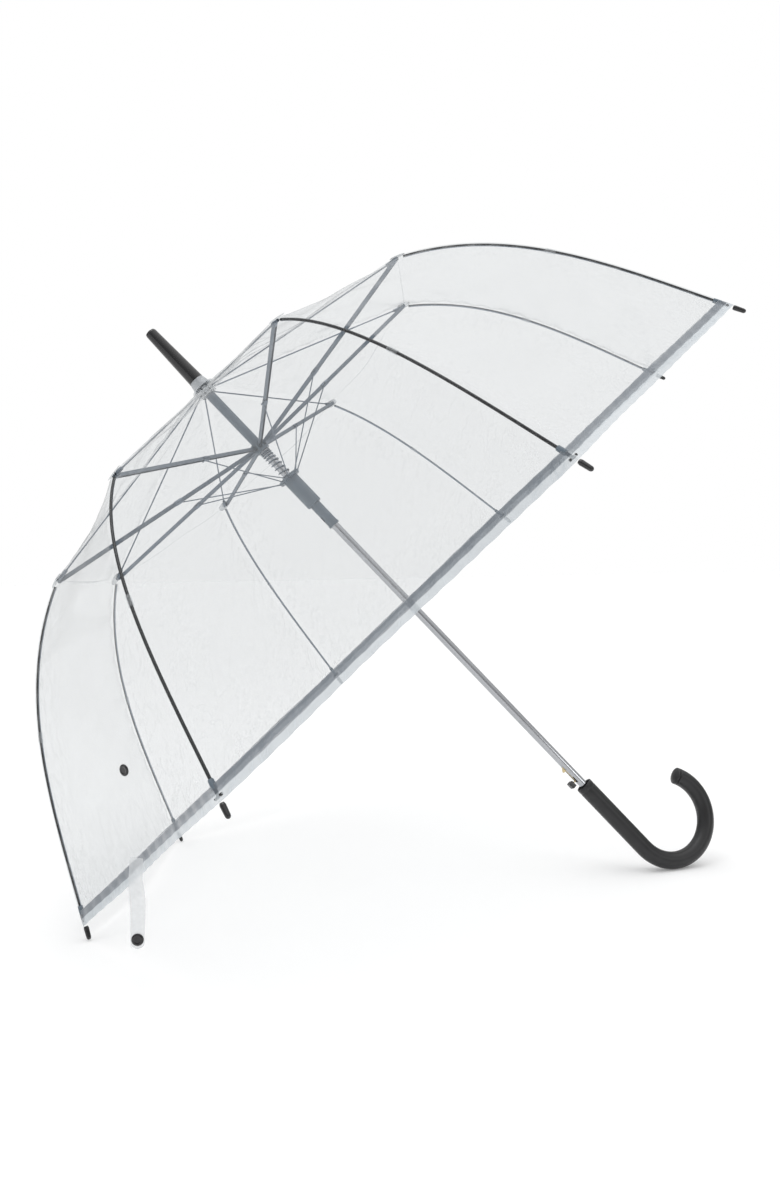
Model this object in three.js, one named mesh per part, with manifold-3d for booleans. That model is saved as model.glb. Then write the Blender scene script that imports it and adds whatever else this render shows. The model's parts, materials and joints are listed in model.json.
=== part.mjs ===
// Automatic stick umbrella with a clear dome canopy, open, lying on two rib tips and its crook handle.
// Millimetres. The umbrella is built about its own shaft, crown up, with z = 0 at the base of the
// ferrule, and is then laid down on the floor z = 0. A "drop" is a distance below the ferrule's base.
import * as THREE from 'three';
import { mergeVertices } from 'three/addons/utils/BufferGeometryUtils.js';
import Module from 'manifold-3d';

// ---- Dome and ribs ----
const SPOKES = 8;
const FIRST_SPOKE = Math.PI / SPOKES; // no spoke points straight up or down when it lies on two tips
const RIM_RADIUS = 500;
const RIM_DROP = 381;
const ELBOW_RADIUS = 281; // where the stretcher meets the rib
const ELBOW_DROP = 86;
const CROWN_PIVOT_RADIUS = 9;
const CROWN_PIVOT_DROP = 17;
const UPPER_RIB_DIAMETER = 1.8;
const LOWER_RIB_DIAMETER = 3;
const BOW_NEAR_ELBOW = 0.148; // how far the lower rib's two control points stand out, as shares of its chord
const BOW_NEAR_TIP = 0.06;
const TIP_CAP_LENGTH = 14;
const TIP_CAP_DIAMETER = 5.3;

// ---- Canopy, strap and snaps ----
const CANOPY_THICKNESS = 0.2;
const CANOPY_STAND_OFF = 4.4; // from the rib's centre line to the film's inner face, at a seam
const CANOPY_HOLE_RADIUS = 6.2;
const SNAP_DIAMETER = 11.5;
const SNAP_HEIGHT = 2.4;
const SNAP_ALONG = 0.8; // place of the canopy's snap, as a share of the seam's length below the crown
const SNAP_ACROSS = 0.57; // and as a share of the panel's width
const STRAP_SPOKE = 5; // the strap's panel lies between this spoke and the next
const STRAP_ACROSS = 0.49;
const STRAP_WIDTH = 15;
const STRAP_LENGTH = 70;
const STRAP_THICKNESS = 0.8;

// ---- Shaft and crown fittings ----
const SHAFT_DIAMETER = 10;
const SHAFT_WALL = 0.8;
const SHAFT_TOP = 60; // above the ferrule's base, inside the ferrule
const SHAFT_IN_HANDLE = 91;
const SLIDE_CLEARANCE = 0.3;
const FERRULE_LENGTH = 81;
const FERRULE_BASE_DIAMETER = 18.7;
const FERRULE_TIP_DIAMETER = 14;
const COLLAR_LENGTH = 10.6;
const COLLAR_TOP_DIAMETER = 18.5;
const COLLAR_BASE_DIAMETER = 22.5;
const WASHER_DIAMETER = 30;
const WASHER_THICKNESS = 1;
const NOTCH_DIAMETER = 21;
const NOTCH_HEIGHT = 10;
const CROWN_WIRE_DIAMETER = 0.9;
const EYE_RADIUS = 1.8;
const EYE_HOLE_RADIUS = 0.85;
const SLEEVE_DIAMETER = 11.8;
const GAP = 0.3; // between pieces that touch

// ---- Sliding hub, spring and runner ----
const HUB_PIVOT_DROP = 110.5;
const HUB_PIVOT_RADIUS = 9.5;
const HUB_DIAMETER = 18;
const HUB_HEIGHT = 13;
const STRETCHER_WIDTH = 3.2;
const STRETCHER_HEIGHT = 4.2;
const STRETCHER_WALL = 0.5;
const OPEN_PIVOT_CLEARANCE = 2; // between a stretcher's or link's end and the pivot that it reaches for
const LINK_DIAMETER = 1.4;
const LINK_ALONG_STRETCHER = 110; // from the hub's pivot to the link's
const FLANGE_PIVOT_DROP = 162;
const FLANGE_PIVOT_RADIUS = 12.3;
const FLANGE_DIAMETER = 28;
const FLANGE_THICKNESS = 4;
const RUNNER_DIAMETER = 19.5;
const RUNNER_END_DROP = 206.5;
const RUNNER_TUBE_DIAMETER = 13.4;
const RUNNER_TUBE_END_DROP = 241;
const RUNNER_LIP_DIAMETER = 14.4;
const SPRING_POCKET_DEPTH = 24;
const SPRING_DIAMETER = 14.2;
const SPRING_WIRE = 1.6;
const SPRING_TURNS = 15;

// ---- Handle and release ----
const HANDLE_BELOW_BUTTON = 11;
const HANDLE_DIAMETER = 21;
const HANDLE_WALL = 1.8;
const HANDLE_TURN = THREE.MathUtils.degToRad(25); // the crook opens this far round from straight up
const STRAIGHT_LENGTH = 107.5; // of the handle, above its crook
const CROOK_RADIUS = 52.5;
const CROOK_SWEEP = THREE.MathUtils.degToRad(206);
const END_CAP_LENGTH = 5;
const BUSH_RECESS = 2;
const BUSH_LENGTH = 26;
const CATCH_ABOVE_TUBE_END = 14; // where it holds the folded runner's tube
const CATCH_LENGTH = 6;
const CATCH_REACH = 8; // of the catch's tip, from the shaft's axis
const LEVER_WIDTH = 3;
const LEVER_THICKNESS = 0.8;
const LEVER_RADIUS = 3.3; // of its inner face, from the shaft's axis
const BUTTON_BELOW_CATCH = 20;
const BUTTON_SIZE = 8;
const BUTTON_FACE = 14.5; // of the pressed face, from the shaft's axis

// ---- Folded along the shaft ----
const FOLDED_ELBOW_RADIUS = 17.6;

// ---- Tangential places, side by side so that the spoke's pieces pass each other ----
const SIDE_GAP = 0.4;
const RIB_SIDE = SIDE_GAP + LOWER_RIB_DIAMETER / 2;
const STRETCHER_SIDE = -STRETCHER_WIDTH / 2;
const LINK_SIDE = -STRETCHER_WIDTH - SIDE_GAP - LINK_DIAMETER / 2;

// ---- Places that follow from the sizes above, as (radius, height) in a spoke's plane ----
const bore = SHAFT_DIAMETER + 2 * SLIDE_CLEARANCE;
const crownPivot = new THREE.Vector2(CROWN_PIVOT_RADIUS, -CROWN_PIVOT_DROP);
const elbow = new THREE.Vector2(ELBOW_RADIUS, -ELBOW_DROP);
const rim = new THREE.Vector2(RIM_RADIUS, -RIM_DROP);
const hubPivot = new THREE.Vector2(HUB_PIVOT_RADIUS, -HUB_PIVOT_DROP);
const flangePivot = new THREE.Vector2(FLANGE_PIVOT_RADIUS, -FLANGE_PIVOT_DROP);
const upperRibLength = crownPivot.distanceTo(elbow);
const stretcherLength = hubPivot.distanceTo(elbow);
const linkPivot = hubPivot.clone().lerp(elbow, LINK_ALONG_STRETCHER / stretcherLength);
const linkLength = flangePivot.distanceTo(linkPivot);
const crownWireRadius = Math.hypot(CROWN_PIVOT_RADIUS, RIB_SIDE); // through the eyes of the upper ribs
const washerDrop = COLLAR_LENGTH + 2 * GAP;
const canopyDrop = washerDrop + WASHER_THICKNESS + GAP + CANOPY_THICKNESS;
const notchDrop = canopyDrop + GAP;
const sleeveDrop = notchDrop + NOTCH_HEIGHT + GAP;
const hubDrop = HUB_PIVOT_DROP - HUB_HEIGHT / 2;
const flangeDrop = FLANGE_PIVOT_DROP - FLANGE_THICKNESS / 2;
const releaseTurn = HANDLE_TURN + Math.PI;

// How far down the runner's pivots stand when the frame is folded along the shaft.
function foldedRunnerDrop() {
  const along = (length, from, to) => Math.sqrt(length ** 2 - (to - from) ** 2);
  const elbowDrop = CROWN_PIVOT_DROP + along(upperRibLength, CROWN_PIVOT_RADIUS, FOLDED_ELBOW_RADIUS);
  const hub = elbowDrop + along(stretcherLength, HUB_PIVOT_RADIUS, FOLDED_ELBOW_RADIUS);
  const share = LINK_ALONG_STRETCHER / stretcherLength;
  const linkRadius = HUB_PIVOT_RADIUS + share * (FOLDED_ELBOW_RADIUS - HUB_PIVOT_RADIUS);
  return hub - share * (hub - elbowDrop) + along(linkLength, FLANGE_PIVOT_RADIUS, linkRadius);
}

const runnerTravel = foldedRunnerDrop() - FLANGE_PIVOT_DROP;
const catchDrop = RUNNER_TUBE_END_DROP + runnerTravel - CATCH_ABOVE_TUBE_END;
const buttonDrop = catchDrop + BUTTON_BELOW_CATCH;
const handleDrop = buttonDrop + HANDLE_BELOW_BUTTON;
const shaftEndDrop = handleDrop + SHAFT_IN_HANDLE;
const crookDrop = handleDrop + STRAIGHT_LENGTH;

// ---- Materials ----
function material(color, roughness, metalness = 0, opacity = 1) {
  return new THREE.MeshStandardMaterial({
    color, roughness, metalness, opacity, transparent: opacity < 1,
  });
}

const clearFilm = material(0xe9eef0, 0.15, 0, 0.3);
const frostedPlastic = material(0x9aa0a4, 0.4, 0, 0.8);
const blackPlastic = material(0x17181a, 0.35);
const greyPlastic = material(0x6d7d8c, 0.45);
const chrome = material(0xc9ccd0, 0.15, 1);
const greySteel = material(0x8b949c, 0.35, 1);
const blackSteel = material(0x1b1c1f, 0.4, 0.4);
const brass = material(0xb59a5e, 0.35, 1);

// ---- Solids ----
const wasm = await Module();
wasm.setup();

function toSolid(geometry) {
  const bare = geometry.clone();
  bare.deleteAttribute('normal');
  bare.deleteAttribute('uv');
  const merged = mergeVertices(bare, 1e-4);
  return new wasm.Manifold(new wasm.Mesh({
    numProp: 3,
    vertProperties: new Float32Array(merged.attributes.position.array),
    triVerts: new Uint32Array(merged.index.array),
  }));
}

function toGeometry(solid) {
  const { numProp, vertProperties, triVerts } = solid.getMesh();
  const position = new Float32Array((vertProperties.length / numProp) * 3);
  for (let i = 0; i < position.length; i += 1) {
    position[i] = vertProperties[Math.floor(i / 3) * numProp + (i % 3)];
  }
  const geometry = new THREE.BufferGeometry();
  geometry.setAttribute('position', new THREE.BufferAttribute(position, 3));
  geometry.setIndex([...triVerts]);
  const faceted = geometry.toNonIndexed();
  faceted.computeVertexNormals();
  return faceted;
}

function cut(geometry, tools) {
  return toGeometry(tools.reduce((left, tool) => left.subtract(toSolid(tool)), toSolid(geometry)));
}

function join(geometries) {
  return toGeometry(geometries.map(toSolid).reduce((all, next) => all.add(next)));
}

function mesh(name, geometry, finish) {
  const piece = new THREE.Mesh(geometry, finish);
  piece.name = name;
  return piece;
}

// A solid of revolution about z, from its closed outline of [radius, height] points, which runs
// upwards on the outside.
function turned(outline, sides = 32) {
  const points = [...outline, outline[0]].map(([r, z]) => new THREE.Vector2(r, z));
  return new THREE.LatheGeometry(points, sides).rotateX(Math.PI / 2);
}

// A sleeve about z between two drops.
function sleeve(outerDiameter, innerDiameter, topDrop, endDrop, sides = 32) {
  const [outer, inner] = [outerDiameter / 2, innerDiameter / 2];
  return turned([[inner, -endDrop], [outer, -endDrop], [outer, -topDrop], [inner, -topDrop]], sides);
}

// An outline in the spoke's plane, x outwards and its y upwards, extruded sideways about y = side.
function plate(shape, width, side = 0, curveSegments = 8) {
  const geometry = new THREE.ExtrudeGeometry(shape, { depth: width, bevelEnabled: false, curveSegments });
  return geometry.rotateX(Math.PI / 2).translate(0, width / 2 + side, 0);
}

function outlineShape(points) {
  return new THREE.Shape(points.map(([x, y]) => new THREE.Vector2(x, y)));
}

function box(x0, x1, y0, y1, z0, z1) {
  return new THREE.BoxGeometry(x1 - x0, y1 - y0, z1 - z0)
    .translate((x0 + x1) / 2, (y0 + y1) / 2, (z0 + z1) / 2);
}

// A rod along a curve, round in section.
function rod(curve, diameter, steps, sides = 8) {
  const section = new THREE.Shape();
  section.absarc(0, 0, diameter / 2, 0, 2 * Math.PI);
  return new THREE.ExtrudeGeometry(section, {
    extrudePath: curve, steps, curveSegments: sides / 2, bevelEnabled: false,
  });
}

// A straight rod along x from start to end, at y = side.
function straightRod(diameter, start, end, side) {
  return new THREE.CylinderGeometry(diameter / 2, diameter / 2, end - start, 10)
    .rotateZ(-Math.PI / 2)
    .translate((start + end) / 2, side, 0);
}

// A short cylinder across the spoke's plane: an eye, or the hole through one.
function crossCylinder(radius, width, x, side) {
  return new THREE.CylinderGeometry(radius, radius, width, 20).translate(x, side, 0);
}

function turnedToSpoke(geometry, azimuth) {
  return geometry.clone().rotateZ(azimuth);
}

function spokeAzimuth(number) {
  return FIRST_SPOKE + ((number - 1) * 2 * Math.PI) / SPOKES;
}

const spokeNumbers = Array.from({ length: SPOKES }, (_, i) => i + 1);

// ---- Spoke pieces, each along x from its own pivot ----
function upperRib() {
  const end = upperRibLength - LOWER_RIB_DIAMETER / 2 - GAP;
  const body = join([
    straightRod(UPPER_RIB_DIAMETER, 0, end, RIB_SIDE),
    crossCylinder(EYE_RADIUS, UPPER_RIB_DIAMETER, 0, RIB_SIDE),
  ]);
  return cut(body, [crossCylinder(EYE_HOLE_RADIUS, 2 * UPPER_RIB_DIAMETER, 0, RIB_SIDE)]);
}

// The lower rib's centre line, from the elbow to the rim, as a curve in (radius, height).
function lowerRibCurve() {
  const chord = rim.clone().sub(elbow);
  const outward = new THREE.Vector2(-chord.y, chord.x);
  const bowed = (share, bow) => elbow.clone().addScaledVector(chord, share).addScaledVector(outward, bow);
  return new THREE.CubicBezierCurve(
    elbow, bowed(1 / 3, BOW_NEAR_ELBOW), bowed(2 / 3, BOW_NEAR_TIP), rim,
  );
}

function inSpokePlane(point, origin, side) {
  return new THREE.Vector3(point.x - origin.x, side, point.y - origin.y);
}

function lowerRib() {
  const flat = lowerRibCurve();
  const points = [flat.v0, flat.v1, flat.v2, flat.v3].map((p) => inSpokePlane(p, elbow, RIB_SIDE));
  return rod(new THREE.CubicBezierCurve3(...points), LOWER_RIB_DIAMETER, 24);
}

function tipCap() {
  const radius = TIP_CAP_DIAMETER / 2;
  const neck = radius * 0.8;
  const shoulder = TIP_CAP_LENGTH - radius;
  const outline = [[0, 0], [neck, 0], [radius, 2], [radius * 0.9, shoulder]];
  const dome = [30, 60].map(THREE.MathUtils.degToRad)
    .map((a) => [radius * 0.9 * Math.cos(a), shoulder + radius * Math.sin(a)]);
  const points = [...outline, ...dome, [0, TIP_CAP_LENGTH]].map(([r, z]) => new THREE.Vector2(r, z));
  const end = rim.clone().sub(elbow);
  const tangent = lowerRibCurve().getTangent(1);
  return new THREE.LatheGeometry(points, 16)
    .translate(0, GAP, 0)
    .rotateX(Math.PI / 2)
    .rotateY(Math.atan2(tangent.x, tangent.y))
    .translate(end.x, RIB_SIDE, end.y);
}

// A channel open downwards, with a solid round eye at each end.
function stretcher() {
  const eye = STRETCHER_HEIGHT / 2;
  const end = stretcherLength - OPEN_PIVOT_CLEARANCE;
  const inside = STRETCHER_WIDTH / 2 - STRETCHER_WALL;
  const groove = box(
    2 * eye, end - 2 * eye,
    STRETCHER_SIDE - inside, STRETCHER_SIDE + inside,
    -STRETCHER_HEIGHT, eye - STRETCHER_WALL,
  );
  const shape = new THREE.Shape();
  shape.absarc(0, 0, eye, Math.PI / 2, 1.5 * Math.PI);
  shape.absarc(end, 0, eye, -Math.PI / 2, Math.PI / 2);
  return cut(plate(shape, STRETCHER_WIDTH, STRETCHER_SIDE), [groove]);
}

function link() {
  const width = LINK_DIAMETER;
  return join([
    straightRod(LINK_DIAMETER, 0, linkLength, LINK_SIDE),
    crossCylinder(EYE_RADIUS * 0.8, width, 0, LINK_SIDE),
    crossCylinder(EYE_RADIUS * 0.8, width, linkLength, LINK_SIDE),
  ]);
}

// A group at a pivot in the spoke's plane. Its y axis is the hinge's, and turn points x along the bar.
function hinge(pivot, turn = 0) {
  const group = new THREE.Group();
  group.position.set(pivot.x, 0, pivot.y);
  group.rotation.y = turn;
  return group;
}

function dipOf(from, to) {
  return Math.atan2(from.y - to.y, to.x - from.x);
}

function spoke(number) {
  const group = new THREE.Group();
  group.rotation.z = spokeAzimuth(number);
  const crown = hinge(crownPivot, dipOf(crownPivot, elbow));
  crown.add(mesh(`upper_rib_${number}`, upperRib(), greySteel));
  const bend = hinge(elbow);
  bend.add(mesh(`lower_rib_${number}`, lowerRib(), blackSteel));
  bend.add(mesh(`tip_cap_${number}`, tipCap(), blackPlastic));
  const atHub = hinge(hubPivot, dipOf(hubPivot, elbow));
  atHub.add(mesh(`stretcher_${number}`, stretcher(), greySteel));
  const atFlange = hinge(flangePivot, dipOf(flangePivot, linkPivot));
  atFlange.add(mesh(`spreader_link_${number}`, link(), greySteel));
  group.add(crown, bend, atHub, atFlange);
  return group;
}

// ---- Crown, shaft and sliders ----
function shaftTube() {
  const tube = sleeve(SHAFT_DIAMETER, SHAFT_DIAMETER - 2 * SHAFT_WALL, -SHAFT_TOP, shaftEndDrop);
  const slot = box(
    0, SHAFT_DIAMETER,
    -LEVER_WIDTH / 2 - SIDE_GAP, LEVER_WIDTH / 2 + SIDE_GAP,
    -buttonDrop - LEVER_THICKNESS - 2 * SIDE_GAP, -catchDrop + CATCH_LENGTH / 2 + 2 * SIDE_GAP,
  );
  return cut(tube, [turnedToSpoke(slot, releaseTurn)]);
}

function ferrule() {
  const [base, tip] = [FERRULE_BASE_DIAMETER / 2, FERRULE_TIP_DIAMETER / 2];
  const round = 3;
  const hollow = SHAFT_TOP + GAP;
  const corner = [0, 45, 90].map(THREE.MathUtils.degToRad)
    .map((a) => [tip - round + round * Math.cos(a), FERRULE_LENGTH - round + round * Math.sin(a)]);
  return turned([[bore / 2, 0], [base, 0], ...corner, [0, FERRULE_LENGTH], [0, hollow], [bore / 2, hollow]]);
}

function apexCollar() {
  const [top, base] = [COLLAR_TOP_DIAMETER / 2, COLLAR_BASE_DIAMETER / 2];
  const end = -GAP - COLLAR_LENGTH;
  return turned([[bore / 2, end], [base, end], [base, end + 1.5], [top, -GAP], [bore / 2, -GAP]]);
}

function topNotch() {
  const body = sleeve(NOTCH_DIAMETER, bore, notchDrop, notchDrop + NOTCH_HEIGHT);
  const floor = CROWN_PIVOT_RADIUS - EYE_RADIUS - GAP;
  const half = UPPER_RIB_DIAMETER / 2 + SIDE_GAP;
  const slot = box(floor, NOTCH_DIAMETER, RIB_SIDE - half, RIB_SIDE + half, -CANOPY_HOLE_RADIUS * 10, 0);
  const groove = sleeve(
    2 * crownWireRadius + 2 * CROWN_WIRE_DIAMETER, 2 * crownWireRadius - 2 * CROWN_WIRE_DIAMETER,
    CROWN_PIVOT_DROP - CROWN_WIRE_DIAMETER, notchDrop + NOTCH_HEIGHT + 1,
  );
  return cut(body, [groove, ...spokeNumbers.map((n) => turnedToSpoke(slot, spokeAzimuth(n)))]);
}

function crownWire() {
  return new THREE.TorusGeometry(crownWireRadius, CROWN_WIRE_DIAMETER / 2, 6, 40)
    .translate(0, 0, -CROWN_PIVOT_DROP);
}

function stretcherHub() {
  const body = sleeve(HUB_DIAMETER, bore, hubDrop, hubDrop + HUB_HEIGHT);
  const floor = HUB_PIVOT_RADIUS - STRETCHER_HEIGHT / 2 - GAP;
  const half = STRETCHER_WIDTH / 2 + SIDE_GAP;
  const slot = box(
    floor, HUB_DIAMETER, STRETCHER_SIDE - half, STRETCHER_SIDE + half, -hubDrop - HUB_HEIGHT + 3, -hubDrop + 1,
  );
  return cut(body, spokeNumbers.map((n) => turnedToSpoke(slot, spokeAzimuth(n))));
}

// The compression spring between hub and runner, a helix whose end turns lie close.
class SpringPath extends THREE.Curve {
  constructor(radius, top, length, turns) {
    super();
    Object.assign(this, { radius, top, length, turns });
  }

  getPoint(t, target = new THREE.Vector3()) {
    const angle = 2 * Math.PI * this.turns * t;
    const eased = t - Math.sin(2 * Math.PI * t) / (4 * Math.PI);
    return target.set(
      this.radius * Math.cos(angle), this.radius * Math.sin(angle), this.top - this.length * eased,
    );
  }
}

function mainSpring() {
  const top = hubDrop + HUB_HEIGHT + GAP + SPRING_WIRE / 2;
  const end = flangeDrop + SPRING_POCKET_DEPTH - GAP - SPRING_WIRE / 2;
  const path = new SpringPath((SPRING_DIAMETER - SPRING_WIRE) / 2, -top, end - top, SPRING_TURNS);
  return rod(path, SPRING_WIRE, SPRING_TURNS * 12, 6);
}

function runner() {
  const [flange, body, pocket] = [FLANGE_DIAMETER, RUNNER_DIAMETER, SPRING_DIAMETER + 4 * SLIDE_CLEARANCE]
    .map((diameter) => diameter / 2);
  const tube = RUNNER_TUBE_DIAMETER / 2 + GAP;
  const pocketEnd = flangeDrop + SPRING_POCKET_DEPTH;
  const solid = turned([
    [tube, -RUNNER_END_DROP], [body - 1, -RUNNER_END_DROP], [body, -RUNNER_END_DROP + 1],
    [body, -flangeDrop - FLANGE_THICKNESS], [flange, -flangeDrop - FLANGE_THICKNESS],
    [flange, -flangeDrop], [pocket, -flangeDrop], [pocket, -pocketEnd], [tube, -pocketEnd],
  ]);
  const floor = FLANGE_PIVOT_RADIUS - EYE_RADIUS - GAP;
  const half = LINK_DIAMETER / 2 + SIDE_GAP;
  const slot = box(
    floor, FLANGE_DIAMETER, LINK_SIDE - half, LINK_SIDE + half,
    -flangeDrop - FLANGE_THICKNESS - 1, -flangeDrop + 1,
  );
  return cut(solid, spokeNumbers.map((n) => turnedToSpoke(slot, spokeAzimuth(n))));
}

function runnerTube() {
  const [outer, lip] = [RUNNER_TUBE_DIAMETER / 2, RUNNER_LIP_DIAMETER / 2];
  const start = flangeDrop + SPRING_POCKET_DEPTH + GAP;
  const solid = turned([
    [bore / 2, -RUNNER_TUBE_END_DROP], [lip, -RUNNER_TUBE_END_DROP], [lip, -RUNNER_TUBE_END_DROP + 3],
    [outer, -RUNNER_TUBE_END_DROP + 3], [outer, -start], [bore / 2, -start],
  ]);
  const half = LEVER_WIDTH / 2 + SIDE_GAP;
  const window = box(
    0, RUNNER_DIAMETER, -half, half,
    runnerTravel - catchDrop - CATCH_LENGTH / 2 - SIDE_GAP,
    runnerTravel - catchDrop + CATCH_LENGTH / 2 + SIDE_GAP,
  );
  return cut(solid, [turnedToSpoke(window, releaseTurn)]);
}

// ---- Handle and release, in the crook's plane: x towards the opening, z up ----
class CrookPath extends THREE.Curve {
  getPoint(t, target = new THREE.Vector3()) {
    const straight = crookDrop - handleDrop;
    const along = t * (straight + CROOK_RADIUS * CROOK_SWEEP);
    if (along <= straight) return target.set(0, 0, -handleDrop - along);
    const turn = (along - straight) / CROOK_RADIUS;
    return target.set(
      CROOK_RADIUS * (1 - Math.cos(turn)), 0, -crookDrop - CROOK_RADIUS * Math.sin(turn),
    );
  }
}

function handle() {
  const section = new THREE.Shape();
  section.absarc(0, 0, HANDLE_DIAMETER / 2, 0, 2 * Math.PI);
  section.holes.push(new THREE.Path().absarc(0, 0, HANDLE_DIAMETER / 2 - HANDLE_WALL, 0, 2 * Math.PI, true));
  return new THREE.ExtrudeGeometry(section, {
    extrudePath: new CrookPath(), steps: 34, curveSegments: 11, bevelEnabled: false,
  });
}

function handleEndCap() {
  const radius = HANDLE_DIAMETER / 2;
  const dome = [0, 30, 60].map(THREE.MathUtils.degToRad)
    .map((a) => [radius * Math.cos(a), 2 + (END_CAP_LENGTH - 2) * Math.sin(a)]);
  const points = [[0, 0], [radius, 0], ...dome, [0, END_CAP_LENGTH]].map(([r, z]) => new THREE.Vector2(r, z));
  const path = new CrookPath();
  const tangent = path.getTangent(1);
  const end = path.getPoint(1).addScaledVector(tangent, GAP);
  return new THREE.LatheGeometry(points, 32)
    .applyQuaternion(new THREE.Quaternion().setFromUnitVectors(new THREE.Vector3(0, 1, 0), tangent))
    .translate(end.x, end.y, end.z);
}

// The spring lever inside the slotted shaft: a strip, the catch that holds the folded runner, and the
// leg that carries the button.
function catchLever() {
  const inner = LEVER_RADIUS;
  const outer = LEVER_RADIUS + LEVER_THICKNESS;
  const top = -catchDrop + CATCH_LENGTH / 2;
  const foot = -buttonDrop - LEVER_THICKNESS / 2;
  const shape = outlineShape([
    [inner, foot], [BUTTON_FACE - BUTTON_SIZE * 0.8, foot],
    [BUTTON_FACE - BUTTON_SIZE * 0.8, foot + LEVER_THICKNESS], [outer, foot + LEVER_THICKNESS],
    [outer, top - CATCH_LENGTH], [CATCH_REACH, top - CATCH_LENGTH], [CATCH_REACH, top - CATCH_LENGTH * 0.7],
    [outer, top], [inner, top],
  ]);
  return plate(shape, LEVER_WIDTH).rotateZ(Math.PI);
}

function releaseButton() {
  const bevel = 1;
  const half = BUTTON_SIZE / 2 - bevel;
  const depth = BUTTON_SIZE * 0.8 - 2 * bevel - GAP;
  const shape = outlineShape([[-half, -half], [half, -half], [half, half], [-half, half]]);
  return new THREE.ExtrudeGeometry(shape, {
    depth, bevelThickness: bevel, bevelSize: bevel, bevelSegments: 2,
  })
    .rotateY(-Math.PI / 2)
    .translate(-BUTTON_FACE + bevel + depth, 0, -buttonDrop);
}

// ---- Canopy: eight flat-sided gores over the ribs, hemmed at the rim ----
// The seam's inner line as [radius, height] points: flat over the notch, then held off the ribs.
function seamProfile(standOff) {
  const up = elbow.clone().sub(crownPivot).normalize();
  const out = new THREE.Vector2(-up.y, up.x);
  const curve = lowerRibCurve();
  const straight = [0.06, 0.3, 0.55, 0.8, 0.97]
    .map((t) => crownPivot.clone().lerp(elbow, t).addScaledVector(out, standOff));
  const bowed = Array.from({ length: 15 }, (_, i) => i / 14).slice(1).map((t) => {
    const tangent = curve.getTangent(t);
    return curve.getPoint(t).addScaledVector(new THREE.Vector2(-tangent.y, tangent.x), standOff);
  });
  const flat = [CANOPY_HOLE_RADIUS, CROWN_PIVOT_RADIUS + 4]
    .map((r) => new THREE.Vector2(r, -canopyDrop + standOff - CANOPY_STAND_OFF));
  return [...flat, ...straight, ...bowed];
}

// A point of a panel: row along the seam, and across from one spoke (0) to the next (1).
function panelPoint(profile, row, spokeNumber, across) {
  const { x: radius, y: height } = profile[row];
  const corner = (number) => {
    const azimuth = spokeAzimuth(number);
    return new THREE.Vector3(radius * Math.cos(azimuth), radius * Math.sin(azimuth), height);
  };
  return corner(spokeNumber).lerp(corner(spokeNumber + 1), across);
}

function canopy() {
  const split = 2;
  const columns = SPOKES * split;
  const skins = [seamProfile(CANOPY_STAND_OFF), seamProfile(CANOPY_STAND_OFF + CANOPY_THICKNESS)];
  const rows = skins[0].length;
  const points = skins.flatMap((profile) => profile.flatMap((_, row) => (
    Array.from({ length: columns }, (__, column) => (
      panelPoint(profile, row, Math.floor(column / split) + 1, (column % split) / split)
    )))));
  const at = (skin, row, column) => (skin * rows + row) * columns + (column % columns);
  const faces = [];
  const quad = (a, b, c, d) => faces.push(a, b, c, a, c, d);
  for (let column = 0; column < columns; column += 1) {
    const next = column + 1;
    for (let row = 0; row < rows - 1; row += 1) {
      quad(at(1, row, column), at(1, row + 1, column), at(1, row + 1, next), at(1, row, next));
      quad(at(0, row, column), at(0, row, next), at(0, row + 1, next), at(0, row + 1, column));
    }
    quad(at(0, 0, column), at(1, 0, column), at(1, 0, next), at(0, 0, next));
    const last = rows - 1;
    quad(at(0, last, next), at(1, last, next), at(1, last, column), at(0, last, column));
  }
  const geometry = new THREE.BufferGeometry().setFromPoints(points);
  geometry.setIndex(faces);
  geometry.computeVertexNormals();
  return geometry;
}

function snap() {
  const [radius, height] = [SNAP_DIAMETER / 2, SNAP_HEIGHT];
  const points = [[0, 0], [radius, 0], [radius, height * 0.4], [radius * 0.8, height], [0, height]]
    .map(([r, z]) => new THREE.Vector2(r, z));
  return new THREE.LatheGeometry(points, 24).rotateX(Math.PI / 2);
}

function canopySnap() {
  const profile = seamProfile(CANOPY_STAND_OFF + CANOPY_THICKNESS);
  const row = Math.round(SNAP_ALONG * (profile.length - 1));
  const here = panelPoint(profile, row, STRAP_SPOKE, SNAP_ACROSS);
  const along = panelPoint(profile, row + 1, STRAP_SPOKE, SNAP_ACROSS).sub(here);
  const across = panelPoint(profile, row, STRAP_SPOKE, SNAP_ACROSS + 0.1).sub(here);
  const outward = along.clone().cross(across).normalize();
  const middle = here.addScaledVector(along, 0.5).addScaledVector(outward, GAP);
  const geometry = snap()
    .applyQuaternion(new THREE.Quaternion().setFromUnitVectors(new THREE.Vector3(0, 0, 1), outward));
  return geometry.translate(middle.x, middle.y, middle.z);
}

// The strap hangs straight down from the sloping hem, so it is made in the laid-down frame.
function strap(hemPoint, across, hemSlope) {
  const half = STRAP_WIDTH / 2;
  const shape = new THREE.Shape();
  shape.moveTo(-half, -half * hemSlope);
  shape.lineTo(-half * 0.85, -STRAP_LENGTH + half);
  shape.absarc(0, -STRAP_LENGTH + half, half * 0.85, Math.PI, 2 * Math.PI);
  shape.lineTo(half, half * hemSlope);
  const geometry = new THREE.ExtrudeGeometry(shape, {
    depth: STRAP_THICKNESS, bevelEnabled: false, curveSegments: 10,
  }).translate(0, -3 * GAP, -STRAP_THICKNESS / 2);
  const facing = new THREE.Matrix4().makeBasis(
    across, new THREE.Vector3(0, 0, 1), across.clone().cross(new THREE.Vector3(0, 0, 1)),
  );
  return geometry.applyMatrix4(facing).translate(hemPoint.x, hemPoint.y, hemPoint.z);
}

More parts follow.
